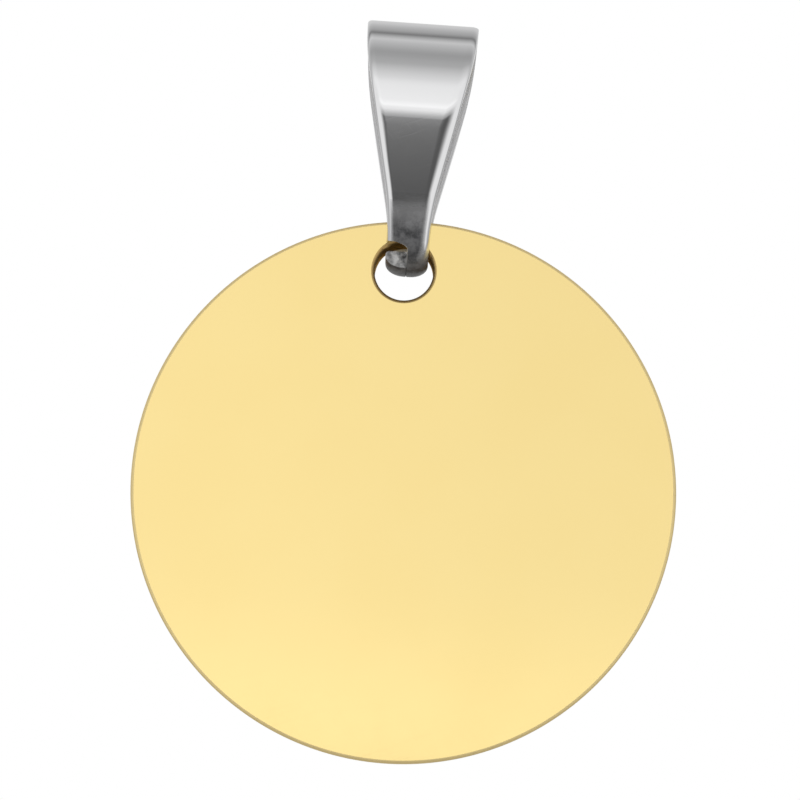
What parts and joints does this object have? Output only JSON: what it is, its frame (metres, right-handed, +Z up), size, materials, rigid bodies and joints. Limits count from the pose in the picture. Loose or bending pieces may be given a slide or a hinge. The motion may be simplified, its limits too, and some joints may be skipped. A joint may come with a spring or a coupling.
{
  "type": "round dog tag pendant",
  "caption": "Blank round tag pendant: a polished yellow metal disc that swings from a folded steel strap bail, made to slide on a chain.",
  "frame": {"origin": "the spot under the bail's crown that the chain bears on, midway between the bail's two edges at rest", "axes": "+Z up with the pendant hanging, -Y out of the tag's front face, +X to the viewer's right"},
  "size_m": [0.025, 0.0064, 0.0349],
  "materials": {
    "yellow_tag": "mirror polished, plated",
    "steel_bail": "polished stainless steel"
  },
  "bodies": {
    "bail": {"bail": "steel_bail"},
    "tag_disc": {"tag_disc": "yellow_tag"}
  },
  "joints": [
    {"name": "tag_swing", "type": "hinge", "parent": "bail", "child": "tag_disc", "pos_m": [0, 0, -0.00958], "axis": [0.9977, 0, -0.068], "range_deg": [-100, 100]}
  ]
}
